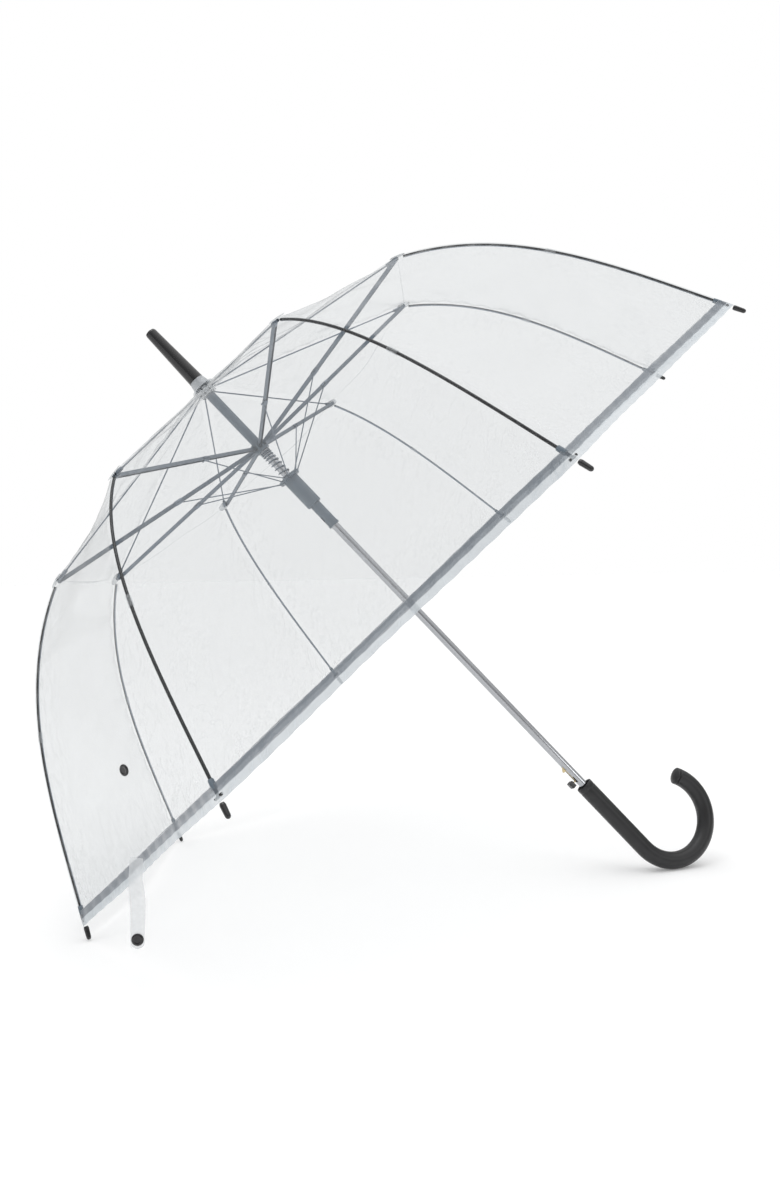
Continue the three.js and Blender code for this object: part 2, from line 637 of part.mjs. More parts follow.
// ---- How it lies: the shaft's rise from the floor at which two tips and the crook all touch ----
function tipHeight(rise) {
  const tangent = lowerRibCurve().getTangent(1);
  const end = rim.clone().addScaledVector(tangent, GAP + TIP_CAP_LENGTH - TIP_CAP_DIAMETER / 2);
  const radius = end.x * Math.cos(FIRST_SPOKE) + RIB_SIDE * Math.sin(FIRST_SPOKE);
  return end.y * Math.sin(rise) - radius * Math.cos(rise) - TIP_CAP_DIAMETER / 2;
}

function crookHeight(rise) {
  const lean = Math.cos(rise) * Math.cos(HANDLE_TURN);
  return CROOK_RADIUS * (lean - Math.hypot(lean, Math.sin(rise)))
    - crookDrop * Math.sin(rise) - HANDLE_DIAMETER / 2;
}

function restingRise() {
  let [low, high] = [0.2, 1.4];
  for (let i = 0; i < 60; i += 1) {
    const rise = (low + high) / 2;
    if (crookHeight(rise) > tipHeight(rise)) low = rise;
    else high = rise;
  }
  return low;
}

// ---- Assembly ----
function shaftAndCrown() {
  return [
    mesh('shaft_tube', shaftTube(), chrome),
    mesh('ferrule', ferrule(), blackPlastic),
    mesh('apex_collar', apexCollar(), frostedPlastic),
    mesh('crown_washer', sleeve(WASHER_DIAMETER, bore, washerDrop, washerDrop + WASHER_THICKNESS), clearFilm),
    mesh('top_notch', topNotch(), frostedPlastic),
    mesh('crown_wire', crownWire(), greySteel),
    mesh('top_sleeve', sleeve(SLEEVE_DIAMETER, bore, sleeveDrop, hubDrop - GAP), greyPlastic),
  ];
}

function sliders() {
  return [
    mesh('stretcher_hub', stretcherHub(), greyPlastic),
    mesh('main_spring', mainSpring(), greySteel),
    mesh('runner', runner(), greyPlastic),
    mesh('runner_tube', runnerTube(), greyPlastic),
  ];
}

function handleAndRelease() {
  const group = new THREE.Group();
  group.rotation.z = HANDLE_TURN;
  const bush = sleeve(
    HANDLE_DIAMETER - 2 * HANDLE_WALL - 2 * GAP, bore,
    handleDrop + BUSH_RECESS, handleDrop + BUSH_RECESS + BUSH_LENGTH,
  );
  group.add(
    mesh('handle', handle(), blackPlastic),
    mesh('handle_bush', bush, blackPlastic),
    mesh('handle_end_cap', handleEndCap(), blackPlastic),
    mesh('catch_lever', catchLever(), brass),
    mesh('release_button', releaseButton(), blackPlastic),
  );
  return group;
}

function standingUmbrella() {
  const group = new THREE.Group();
  group.add(...shaftAndCrown(), ...sliders(), handleAndRelease());
  group.add(...spokeNumbers.map(spoke));
  group.add(mesh('canopy', canopy(), clearFilm));
  group.add(mesh('canopy_snap', canopySnap(), blackPlastic));
  return group;
}

function strapAndSnap(laid) {
  const profile = seamProfile(CANOPY_STAND_OFF);
  const hem = (across) => panelPoint(profile, profile.length - 1, STRAP_SPOKE, across).applyMatrix4(laid);
  const hemPoint = hem(STRAP_ACROSS);
  const edge = hem(1).sub(hem(0));
  const hemSlope = edge.z / Math.hypot(edge.x, edge.y);
  const across = edge.setZ(0).normalize();
  const facing = across.clone().cross(new THREE.Vector3(0, 0, 1));
  const centre = hemPoint.clone()
    .addScaledVector(facing, STRAP_THICKNESS / 2 + GAP)
    .add(new THREE.Vector3(0, 0, -STRAP_LENGTH + STRAP_WIDTH * 0.8));
  const disc = snap()
    .applyQuaternion(new THREE.Quaternion().setFromUnitVectors(new THREE.Vector3(0, 0, 1), facing))
    .translate(centre.x, centre.y, centre.z);
  return [
    mesh('closing_strap', strap(hemPoint, across, hemSlope), clearFilm),
    mesh('strap_snap', disc, blackPlastic),
  ];
}

function laidUmbrella() {
  const rise = restingRise();
  const standing = standingUmbrella();
  standing.rotation.y = rise - Math.PI / 2;
  standing.position.z = -crookHeight(rise);
  standing.updateMatrixWorld(true);
  const group = new THREE.Group();
  group.add(standing, ...strapAndSnap(standing.matrixWorld));
  const middle = new THREE.Box3().setFromObject(group, true).getCenter(new THREE.Vector3());
  group.position.set(-middle.x, -middle.y, 0);
  group.updateMatrixWorld(true);
  return group;
}

export default laidUmbrella();
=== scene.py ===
"""Clear dome stick umbrella, lying open on two rib tips and its crook: the finished surfaces.

Metres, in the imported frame. Places are given about the umbrella's own shaft: r out from the shaft,
t sideways from a spoke's plane, and z along the shaft, from 0 at the ferrule's base, up to the crown.
"""
import json
import math

import bpy
import numpy as np
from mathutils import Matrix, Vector


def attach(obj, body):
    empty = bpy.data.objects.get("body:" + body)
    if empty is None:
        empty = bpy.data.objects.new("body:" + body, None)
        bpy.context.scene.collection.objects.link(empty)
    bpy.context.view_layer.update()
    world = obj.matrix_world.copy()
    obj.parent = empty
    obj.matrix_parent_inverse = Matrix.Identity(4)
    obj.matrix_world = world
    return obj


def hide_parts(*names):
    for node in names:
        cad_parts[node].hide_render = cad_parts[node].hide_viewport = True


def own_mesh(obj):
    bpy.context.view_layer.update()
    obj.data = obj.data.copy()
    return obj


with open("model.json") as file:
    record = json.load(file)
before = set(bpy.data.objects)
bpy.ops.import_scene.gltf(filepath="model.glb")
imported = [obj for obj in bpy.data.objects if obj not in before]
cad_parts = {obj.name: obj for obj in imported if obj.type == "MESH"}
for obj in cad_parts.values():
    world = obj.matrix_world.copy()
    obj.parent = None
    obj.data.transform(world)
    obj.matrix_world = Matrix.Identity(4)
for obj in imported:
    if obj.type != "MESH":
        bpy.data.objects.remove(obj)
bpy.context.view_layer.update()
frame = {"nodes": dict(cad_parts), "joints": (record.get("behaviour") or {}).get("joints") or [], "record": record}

# ---- Sizes, in metres ----
SPOKES = 8
POLE = 1e-5
UPPER_GRID = (84, 26)
LOWER_GRID = (112, 44)
CROWN_PIVOT = np.array((0.009, -0.017))
ELBOW = np.array((0.281, -0.086))
RIM = np.array((0.500, -0.381))
BOW_NEAR_ELBOW = 0.148
BOW_NEAR_TIP = 0.06
RIB_SIDE = 0.0019
LOWER_RIB_RADIUS = 0.0015
ROD_SIDES = 16
ROD_RINGS = 60
FILM_STAND_OFF = 0.0026
FILM_TOP = -0.01252
FILM_HOLE = 0.0065
HEM_WIDTH = 0.015
SAG_SHARE = 0.03
SCALLOP = 0.014
RIPPLE_REACH = 0.03
FRILLS = 17
LOWER_PART_LENGTH = 0.37
TAB_AT = 0.46
SOCKET_AT = 0.955
CLIP_AT = 0.985
STRAP_PANEL = 5
STRAP_ACROSS = 0.49
STRAP_LENGTH = 0.069
STRAP_WIDTH = 0.0155
STRAP_SEWN = 0.012
STRAP_TWIST = 0.03
CANOPY_SNAP_ACROSS = 0.57
SNAP_TURN = 0.6
SNAP_SINK = 0.008
CANOPY_SNAP_AT = 0.755
SNAP_RADIUS = 0.0056
LINK_SHARE = 0.4035
LINK_SIDE = -0.0043
STRETCHER_SIDE = -0.0016
HUB_PIVOT = np.array((0.0095, -0.1105))
HANDLE_RADIUS = 0.0105
HANDLE_BORE = 0.0087
HANDLE_STRAIGHT = 0.1075
HANDLE_SIDES = 56
CROOK_RADIUS = 0.0525
CROOK_SWEEP = math.radians(206)
CAP_LENGTH = 0.0053
SPRING_RADIUS = 0.0063
SPRING_WIRE = 0.0008
SPRING_TOP = -0.1181
SPRING_END = -0.1829
SPRING_TURNS = 15
GUARD_RADIUS = 0.009
CRIMP_LENGTH = 0.016
GUARD_GATHER = 0.007
SIDE_LIGHT = 0.35
OVERHEAD_LIGHT = 1.3

# ---- Where the umbrella lies, from its joints ----
JOINTS = {joint["name"]: joint for joint in frame["joints"]}
TO_CROWN = -np.array(JOINTS["fold"]["axis"])
ACROSS = np.array((0.0, 1.0, 0.0))
OUT_UP = np.cross(ACROSS, TO_CROWN)
CROWN = np.mean([JOINTS[f"rib_{k}"]["pos_m"] for k in range(1, SPOKES + 1)], axis=0)
BASE = CROWN - CROWN_PIVOT[1] * TO_CROWN
RELEASE_TURN = math.atan2(
    np.dot(JOINTS["release_press"]["axis"], ACROSS), np.dot(JOINTS["release_press"]["axis"], OUT_UP)
)

CROOK_START = np.dot(frame["record"]["mounts"][1]["pos_m"] - BASE, TO_CROWN)
MOUTH = CROOK_START + HANDLE_STRAIGHT


def spoke_number(k):
    """The spoke's number in 1..8, for any whole k."""
    return (k - 1) % SPOKES + 1


def spoke_axes(k):
    """(outward, sideways) unit vectors of spoke k: sideways is its hinge axis."""
    sideways = np.array(JOINTS[f"rib_{spoke_number(k)}"]["axis"])
    return np.cross(sideways, TO_CROWN), sideways


def at_spoke(k, r, t, z):
    """Points in the row frame from r, t and z arrays about spoke k."""
    outward, sideways = spoke_axes(k)
    r, t, z = np.broadcast_arrays(r, t, z)
    return BASE + r[..., None] * outward + t[..., None] * sideways + z[..., None] * TO_CROWN


def smooth(x):
    """0 below 0, 1 above 1, and 3x^2 - 2x^3 between."""
    x = np.clip(x, 0, 1)
    return x * x * (3 - 2 * x)


# ---- Meshes from grids ----
def grid_object(name, points, body, wrap_u=False, wrap_v=False, uv=None):
    """A quad surface through points[i, j], closed round j if wrap_u and round i if wrap_v.

    A tube that closes round j only gets a flat face over each end.
    """
    rows, columns = points.shape[:2]
    i = np.arange(rows if wrap_v else rows - 1)
    j = np.arange(columns if wrap_u else columns - 1)
    i, j = np.meshgrid(i, j, indexing="ij")
    i2, j2 = (i + 1) % rows, (j + 1) % columns
    quads = np.stack((i * columns + j, i2 * columns + j, i2 * columns + j2, i * columns + j2), axis=-1)
    quads = quads.reshape(-1, 4)
    mesh = bpy.data.meshes.new(name)
    mesh.vertices.add(rows * columns)
    mesh.vertices.foreach_set("co", points.reshape(-1).astype(np.float32))
    corners = quads.reshape(-1)
    starts = np.arange(0, quads.size, 4)
    if wrap_u and not wrap_v:
        first_end, last_end = np.arange(columns), (rows - 1) * columns + np.arange(columns)[::-1]
        starts = np.append(starts, (quads.size, quads.size + columns))
        corners = np.concatenate((corners, first_end, last_end))
    mesh.loops.add(len(corners))
    mesh.loops.foreach_set("vertex_index", corners.astype(np.int32))
    mesh.polygons.add(len(starts))
    mesh.polygons.foreach_set("loop_start", starts.astype(np.int32))
    mesh.polygons.foreach_set("use_smooth", np.ones(len(starts), dtype=bool))
    if uv is not None:
        layer = mesh.uv_layers.new(name="film")
        layer.data.foreach_set("uv", uv.reshape(-1, 2)[corners].reshape(-1).astype(np.float32))
    mesh.update()
    mesh.validate()
    piece = bpy.data.objects.new(name, mesh)
    bpy.context.scene.collection.objects.link(piece)
    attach(piece, body)
    return piece


def sweep(centres, tangents, side, radii, sides=20):
    """Circles of the given radii round each centre, in the plane across its tangent.

    Angle a runs backwards from side, so that faces point out: each point is centre + radius (cos a, sin a).
    """
    across = np.cross(tangents, side)
    across /= np.linalg.norm(across, axis=-1, keepdims=True)
    upright = np.cross(across, tangents)
    upright /= np.linalg.norm(upright, axis=-1, keepdims=True)
    angle = -np.linspace(0, 2 * np.pi, sides, endpoint=False)
    cosine, sine = np.cos(angle)[None, :, None], np.sin(angle)[None, :, None]
    ring = cosine * upright[:, None, :] + sine * across[:, None, :]
    return centres[:, None, :] + np.asarray(radii)[:, None, None] * ring


def turned(name, profile, body, start, axis, sides=40, ring=False):
    """A lathe-turned piece: each (radius, height) of the profile goes round axis from start.

    A ring's profile ends where it began, and closes on itself instead of on the axis.
    """
    profile = np.array(profile)[:-1] if ring else np.array(profile)
    centres = start + profile[:, 1:2] * axis
    tangents = np.repeat(axis[None, :], len(profile), axis=0)
    side = OUT_UP if abs(np.dot(axis, OUT_UP)) < 0.9 else ACROSS
    return grid_object(name, sweep(centres, tangents, side, profile[:, 0], sides), body,
                       wrap_u=True, wrap_v=ring)


def rounded(profile, corner, steps=4):
    """The profile with each inner corner cut back by corner and turned in a quadratic arc."""
    profile = np.array(profile)
    points = [profile[:1]]
    for before, here, after in zip(profile[:-2], profile[1:-1], profile[2:]):
        reach = [min(corner, 0.45 * np.linalg.norm(end - here)) for end in (before, after)]
        first = here + (before - here) / np.linalg.norm(before - here) * reach[0]
        last = here + (after - here) / np.linalg.norm(after - here) * reach[1]
        s = np.linspace(0, 1, steps + 1)[:, None]
        points.append((1 - s) ** 2 * first + 2 * s * (1 - s) * here + s ** 2 * last)
    return np.concatenate(points + [profile[-1:]])


# ---- Shader maths ----
class Term:
    """A socket that arithmetic works on, so that shader maths reads as an expression."""

    def __init__(self, finish, socket):
        self.finish = finish
        self.socket = socket

    def _math(self, operation, first, second):
        return self.finish.node("ShaderNodeMath", {"operation": operation}, {0: first, 1: second})

    def __add__(self, other):
        return self._math("ADD", self, other)

    def __sub__(self, other):
        return self._math("SUBTRACT", self, other)

    def __rsub__(self, other):
        return self._math("SUBTRACT", other, self)

    def __mul__(self, other):
        return self._math("MULTIPLY", self, other)

    def __pow__(self, other):
        return self._math("POWER", self, other)

    __radd__ = __add__
    __rmul__ = __mul__

    def below(self, edge, softness):
        """1 under the edge, falling to 0 over softness."""
        return self.finish.node(
            "ShaderNodeMapRange", {"clamp": True},
            {
                "Value": self, "From Min": edge - softness, "From Max": edge + softness,
                "To Min": 1.0, "To Max": 0.0,
            },
        )


class Finish:
    """A material and the nodes it is made of."""

    def __init__(self, name):
        self.material = bpy.data.materials.new(name)
        self.material.use_nodes = True
        self.tree = self.material.node_tree
        self.tree.nodes.clear()
        self.output = self.tree.nodes.new("ShaderNodeOutputMaterial")

    def node(self, kind, settings=None, values=None, output=0):
        """Adds a node of a kind, with its settings, then the values or links of its sockets."""
        made = self.tree.nodes.new(kind)
        for key, value in (settings or {}).items():
            setattr(made, key, value)
        for key, value in (values or {}).items():
            if isinstance(value, Term):
                self.tree.links.new(value.socket, made.inputs[key])
            else:
                made.inputs[key].default_value = value
        return Term(self, made.outputs[output])

    def place(self, scale=(1, 1, 1)):
        """The object's own coordinates, in metres, stretched by scale."""
        here = self.node("ShaderNodeTexCoord", output="Object")
        return self.node("ShaderNodeMapping", {}, {"Vector": here, "Scale": scale})

    def noise(self, where, scale, detail=3.0, roughness=0.5):
        """Cloudy noise from 0 to 1, with about scale lumps to the metre."""
        return self.node(
            "ShaderNodeTexNoise", {},
            {"Vector": where, "Scale": scale, "Detail": detail, "Roughness": roughness},
        )

    def bump(self, height, strength, distance):
        """A normal from a height, in metres."""
        return self.node(
            "ShaderNodeBump", {}, {"Height": height, "Strength": strength, "Distance": distance},
        )

    def tint(self, factor, low, high):
        """A colour between low and high."""
        mix = self.node("ShaderNodeMix", {"data_type": "RGBA"}, {0: factor, 6: low, 7: high}, output=2)
        return mix

    def shade(self, shader):
        """Ends the material with this shader."""
        self.tree.links.new(shader.socket, self.output.inputs["Surface"])
        return self.material


def rgb(red, green, blue):
    """An opaque colour."""
    return (red, green, blue, 1.0)


def moulded(name, low, high, roughness, grain=900.0, coat=0.0):
    """Moulded plastic: a little cloudiness in the colour and sheen, over a fine eggshell skin."""
    finish = Finish(name)
    where = finish.place()
    cloud = finish.noise(where, 60.0)
    skin = finish.noise(where, grain, 2.0)
    return finish.shade(finish.node("ShaderNodeBsdfPrincipled", {}, {
        "Base Color": finish.tint(cloud, low, high),
        "Roughness": cloud * 0.1 + (roughness - 0.05),
        "Coat Weight": coat,
        "Normal": finish.bump(skin, 0.25, 0.00006),
    }))


def drawn_metal(name, low, high, roughness, streak=(1.0, 1.0, 1.0)):
    """Drawn or plated metal: faint streaks in its sheen and tone, and a trace of handling."""
    finish = Finish(name)
    streaks = finish.noise(finish.place(streak), 400.0, 4.0, 0.6)
    handled = finish.noise(finish.place(), 25.0, 2.0)
    return finish.shade(finish.node("ShaderNodeBsdfPrincipled", {}, {
        "Base Color": finish.tint(handled, low, high),
        "Metallic": 1.0,
        "Roughness": streaks * 0.12 + handled * 0.05 + (roughness - 0.08),
        "Normal": finish.bump(streaks, 0.12, 0.00003),
    }))


def frosted(name, body, see_through, roughness):
    """Translucent moulding: mostly milky plastic, with some of what is behind it showing."""
    finish = Finish(name)
    cloud = finish.noise(finish.place(), 140.0)
    plastic = finish.node("ShaderNodeBsdfPrincipled", {}, {
        "Base Color": finish.tint(cloud, body, rgb(*[min(1.0, part * 1.15) for part in body[:3]])),
        "Roughness": cloud * 0.12 + (roughness - 0.06),
        "Normal": finish.bump(cloud, 0.2, 0.0001),
    })
    clear = finish.node("ShaderNodeBsdfTransparent", {}, {"Color": rgb(0.9, 0.92, 0.93)})
    return finish.shade(finish.node("ShaderNodeMixShader", {}, {
        0: cloud * 0.2 + (0.9 - see_through), 1: clear, 2: plastic,
    }))


def clear_film():
    """Clear vinyl film. Its map's first value is the distance from a seam, the second from the hem's edge.

    It is clearest over the ribs, and turns milky at a glancing angle, near the crown, in the soft creases
    that run off its seams, and in the folded hem, which has a dark stripe above a pale one.
    """
    finish = Finish("clear_film")
    chart = finish.node("ShaderNodeUVMap", {"uv_map": "film"})
    split = finish.node("ShaderNodeSeparateXYZ", {}, {"Vector": chart})
    from_seam = split
    from_hem = Term(finish, split.socket.node.outputs[1])
    where = finish.place()
    waves = finish.noise(where, 9.0, 4.0, 0.62)
    creases = finish.noise(finish.place((1.0, 1.0, 0.35)), 46.0, 5.0, 0.62)
    ridge = finish.node("ShaderNodeMath", {"operation": "ABSOLUTE"}, {0: creases - 0.5})
    crease = ridge.below(0.012, 0.014)
    near_seam = from_seam.below(0.035, 0.035)
    near_hem = from_hem.below(0.05, 0.05)
    over_rib = from_seam.below(0.008, 0.004)
    hem = from_hem.below(HEM_WIDTH, 0.0004)
    outer_fold = from_hem.below(HEM_WIDTH * 0.48, 0.0005)
    crown_mist = 1 - from_hem.below(0.59, 0.06)
    graze = finish.node("ShaderNodeLayerWeight", {}, {"Blend": 0.5}, output="Facing") ** 5.0
    hem_tone = finish.tint(outer_fold, rgb(0.19, 0.215, 0.245), rgb(0.6, 0.645, 0.68))
    body = finish.node("ShaderNodeBsdfPrincipled", {}, {
        "Base Color": finish.tint(hem, rgb(0.8, 0.815, 0.825), hem_tone),
        "Roughness": waves * 0.16 + 0.05,
        "IOR": 1.5,
        "Normal": finish.bump(waves + creases * 0.12, 0.3, 0.003),
    })
    clear = finish.node("ShaderNodeBsdfTransparent", {}, {"Color": rgb(0.908, 0.915, 0.918)})
    open_film = 0.12 + crease * (near_seam * 0.14 + near_hem * 0.12 + 0.02) + crown_mist * 0.06 + graze * 0.4
    milk = open_film * (1 - over_rib * 0.9) + hem * 0.62
    capped = finish.node("ShaderNodeMath", {"operation": "MINIMUM"}, {0: milk, 1: 0.9})
    return finish.shade(finish.node("ShaderNodeMixShader", {}, {0: capped, 1: clear, 2: body}))


def painted_highlight_rod():
    """A black rod with a painted highlight: blue-grey on its inner face. Its map's first value is -1 inwards and 1
    outwards.
    """
    finish = Finish("black_glass_fibre_painted_highlight")
    chart = finish.node("ShaderNodeUVMap", {"uv_map": "film"})
    facing_out = finish.node("ShaderNodeSeparateXYZ", {}, {"Vector": chart})
    inner = facing_out.below(-0.5, 0.12)
    fibres = finish.noise(finish.place(), 500.0, 3.0)
    return finish.shade(finish.node("ShaderNodeBsdfPrincipled", {}, {
        # The blue-grey on the inner face is a painted highlight; the rod itself is black all round.
        "Base Color": finish.tint(inner, rgb(0.014, 0.015, 0.017), rgb(0.2, 0.24, 0.29)),
        "Roughness": fibres * 0.1 + 0.22,
        "Normal": finish.bump(fibres, 0.2, 0.00005),
    }))


def milky_film(name, opacity):
    """The same film doubled and welded, as on the strap and tabs: whiter and less clear."""
    finish = Finish(name)
    cloud = finish.noise(finish.place(), 120.0, 4.0)
    body = finish.node("ShaderNodeBsdfPrincipled", {}, {
        "Base Color": finish.tint(cloud, rgb(0.66, 0.68, 0.7), rgb(0.8, 0.82, 0.83)),
        "Roughness": cloud * 0.2 + 0.1,
        "Normal": finish.bump(cloud, 0.4, 0.0006),
    })
    clear = finish.node("ShaderNodeBsdfTransparent", {}, {"Color": rgb(0.97, 0.975, 0.98)})
    milk = cloud * 0.25 + opacity - 0.1
    return finish.shade(finish.node("ShaderNodeMixShader", {}, {0: milk, 1: clear, 2: body}))


FILM = clear_film()
STRAP_FILM = milky_film("strap_film", 0.5)
TAB_FILM = milky_film("tab_film", 0.22)
GUARD_FILM = milky_film("guard_film", 0.45)
BLACK_GLOSS = moulded(
    "black_gloss_plastic", rgb(0.008, 0.008, 0.009), rgb(0.013, 0.013, 0.015), 0.22, 700.0, 0.2
)
BLACK_SATIN = moulded("black_satin_plastic", rgb(0.009, 0.009, 0.01), rgb(0.017, 0.017, 0.018), 0.34, 1600.0)
# Black rod finish, with a painted highlight on its inner face.
BLACK_RIB = painted_highlight_rod()
GREY_PLASTIC = moulded("grey_plastic", rgb(0.1, 0.13, 0.16), rgb(0.13, 0.165, 0.2), 0.35, 900.0)
FROSTED = frosted("frosted_plastic", rgb(0.5, 0.52, 0.54), 0.3, 0.35)
CHROME = drawn_metal("chromed_steel", rgb(0.4, 0.41, 0.43), rgb(0.5, 0.51, 0.53), 0.16, (1.0, 8.0, 1.0))
STEEL = drawn_metal("bright_steel", rgb(0.15, 0.18, 0.215), rgb(0.21, 0.24, 0.28), 0.4, (1.0, 6.0, 1.0))
BRASS = drawn_metal("brass", rgb(0.5, 0.4, 0.22), rgb(0.6, 0.5, 0.3), 0.3)


def dress(piece, material):
    """Gives a new piece its material."""
    piece.data.materials.clear()
    piece.data.materials.append(material)
    return piece


def dress_node(node, material):
    """Gives a CAD node its material."""
    for slot in frame["nodes"][node].material_slots:
        slot.material = material


# ---- The dome's lines, as (r, z) arrays ----
UP_RIB = (ELBOW - CROWN_PIVOT) / np.linalg.norm(ELBOW - CROWN_PIVOT)
RIB_CHORD = RIM - ELBOW


def outward_of(direction):
    """The (r, z) unit normal on the dome's outer side of a direction that runs down it."""
    return np.stack((-direction[..., 1], direction[..., 0]), axis=-1)


def lower_rib_line(v):
    """A cubic Bezier from the elbow to the rim, and its unit direction."""
    bow = outward_of(RIB_CHORD)
    first = ELBOW + RIB_CHORD / 3 + bow * BOW_NEAR_ELBOW
    second = ELBOW + RIB_CHORD * 2 / 3 + bow * BOW_NEAR_TIP
    s = v[..., None]
    line = (1 - s) ** 3 * ELBOW + 3 * s * (1 - s) ** 2 * first + 3 * s * s * (1 - s) * second + s ** 3 * RIM
    direction = (1 - s) ** 2 * (first - ELBOW) + 2 * s * (1 - s) * (second - first) + s * s * (RIM - second)
    return line, direction / np.linalg.norm(direction, axis=-1, keepdims=True)


ELBOW_NORMAL = outward_of(UP_RIB) + outward_of(lower_rib_line(np.array(0.0))[1])
ELBOW_NORMAL = ELBOW_NORMAL / np.linalg.norm(ELBOW_NORMAL)


def film_line(v, part):
    """The film's meridian over a rib: the rib's line, stood off along its normal.

    The upper part starts flat under the washer, and both parts share one normal at the elbow.
    """
    if part == "upper":
        line = CROWN_PIVOT + v[..., None] * (ELBOW - CROWN_PIVOT)
        blend = smooth((v - 0.85) / 0.15)[..., None]
        normal = (1 - blend) * outward_of(UP_RIB) + blend * ELBOW_NORMAL
        line = line + normal * FILM_STAND_OFF
        away = smooth((line[..., 0] - 0.011) / 0.014)
        r = FILM_HOLE + (line[..., 0] - line[..., 0].min()) * (
            (line[..., 0].max() - FILM_HOLE) / (line[..., 0].max() - line[..., 0].min()))
        return np.stack((r, (1 - away) * FILM_TOP + away * line[..., 1]), axis=-1)
    line, direction = lower_rib_line(v)
    blend = smooth(v / 0.1)[..., None]
    return line + FILM_STAND_OFF * ((1 - blend) * ELBOW_NORMAL + blend * outward_of(direction))


# ---- Canopy: a film half-gore on each side of every rib, in an upper and a lower part ----
def film_relief(v, across, seam_gap, to_rim, panel):
    """How far the film stands outwards of a flat panel.

    It ripples along the seams with a sine that dies away over RIPPLE_REACH, frills along the hem in the
    same way, and rolls in two long slanting waves that fade to nothing at the ribs.
    """
    span = 4 * across * (1 - across)
    phase = 1.7 * panel
    ripple = 0.0009 * np.sin(2 * np.pi * v / 0.026 + phase)
    ripple = ripple * np.exp(-seam_gap / RIPPLE_REACH) * smooth(seam_gap / 0.008)
    frill = 0.0007 * np.sin(2 * np.pi * across * FRILLS + phase)
    frill = frill * np.exp(-to_rim / RIPPLE_REACH) * smooth(seam_gap / 0.02)
    roll = 0.0022 * np.sin(2 * np.pi * (v / 0.17 + 0.8 * across) + phase)
    roll = roll + 0.0012 * np.sin(2 * np.pi * (v / 0.071 - 1.6 * across) + 2.3 * phase)
    return ripple + frill + roll * span


def film_points(panel, half, part):
    """A half-gore's grid: row along the seam, column from the seam to the panel's middle.

    Each point lies between the two seams at the share across, then moves along the panel's normal.
    """
    rows, columns = UPPER_GRID if part == "upper" else LOWER_GRID
    v = np.linspace(0, 1, rows)[:, None]
    across = np.linspace(0 if half == "near" else 1, 0.5, columns)[None, :]
    v, across = np.broadcast_arrays(v, across)
    bow = 4 * across * (1 - across)
    along = v * (1 - SCALLOP * bow) if part == "lower" else v
    line = film_line(along, part)
    seams = [at_spoke(panel + side, line[..., 0], RIB_SIDE, line[..., 1]) for side in (0, 1)]
    flat = seams[0] * (1 - across[..., None]) + seams[1] * across[..., None]
    width = np.linalg.norm(seams[1] - seams[0], axis=-1)
    seam_gap = width * np.minimum(across, 1 - across)
    length = np.linalg.norm(RIM - ELBOW) if part == "lower" else np.linalg.norm(ELBOW - CROWN_PIVOT)
    to_rim = length * (1 - v) if part == "lower" else length * (1 - v) + LOWER_PART_LENGTH
    run = length * along if part == "lower" else length * (v - 1)
    sideways = (seams[1] - seams[0]) / width[..., None]
    down = np.gradient(seams[0], axis=0)
    normal = np.cross(down, sideways)
    normal /= np.linalg.norm(normal, axis=-1, keepdims=True)
    if np.mean(np.einsum("...i,...i", normal, flat - BASE - ELBOW[1] * 3 * TO_CROWN)) < 0:
        normal = -normal
    settle = smooth(v / 0.2) if part == "upper" else 1.0
    sag = -SAG_SHARE * width * bow * settle
    offset = sag + settle * film_relief(run, across, seam_gap, to_rim, panel)
    uv = np.stack((seam_gap, to_rim), axis=-1)
    return flat + offset[..., None] * normal, uv, sideways[0, 0]


def sheet_area(points):
    """The grid's area, each quad as two triangles."""
    a, b, c, d = points[:-1, :-1], points[1:, :-1], points[1:, 1:], points[:-1, 1:]
    halves = ((a, b, c), (a, c, d))
    return 0.5 * sum(np.linalg.norm(np.cross(q - p, r - p), axis=-1).sum() for p, q, r in halves)


def film_piece(panel, half, part):
    """One half-gore of film, carried on its rib's body."""
    points, uv, sideways = film_points(panel, half, part)
    if half == "far":
        points, uv = points[:, ::-1], uv[:, ::-1]
    rib = spoke_number(panel if half == "near" else panel + 1)
    piece = grid_object(f"canopy_{part}_{panel}_{half}", points, f"{part}_rib_{rib}", uv=uv)
    dress(piece, FILM)
    outward, _ = spoke_axes(rib)
    chord = UP_RIB if part == "upper" else RIB_CHORD / np.linalg.norm(RIB_CHORD)
    along = chord[0] * outward + chord[1] * TO_CROWN
    axis = sideways - np.dot(sideways, along) * along
    axis /= np.linalg.norm(axis)
    middle = film_line(np.array(0.5), part) if part == "lower" else ELBOW
    anchor = at_spoke(rib, middle[0], RIB_SIDE, middle[1])
    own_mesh(piece)
    area = sheet_area(points)
    width = np.linalg.norm(points[-1, 0] - points[-1, -1])
    return piece


def build_canopy():
    """All the half-gores; together they stand for the CAD canopy."""
    pieces = [
        film_piece(panel, half, part)
        for panel in range(1, SPOKES + 1) for half in ("near", "far") for part in ("upper", "lower")
    ]
    for piece in pieces:
        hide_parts("canopy")


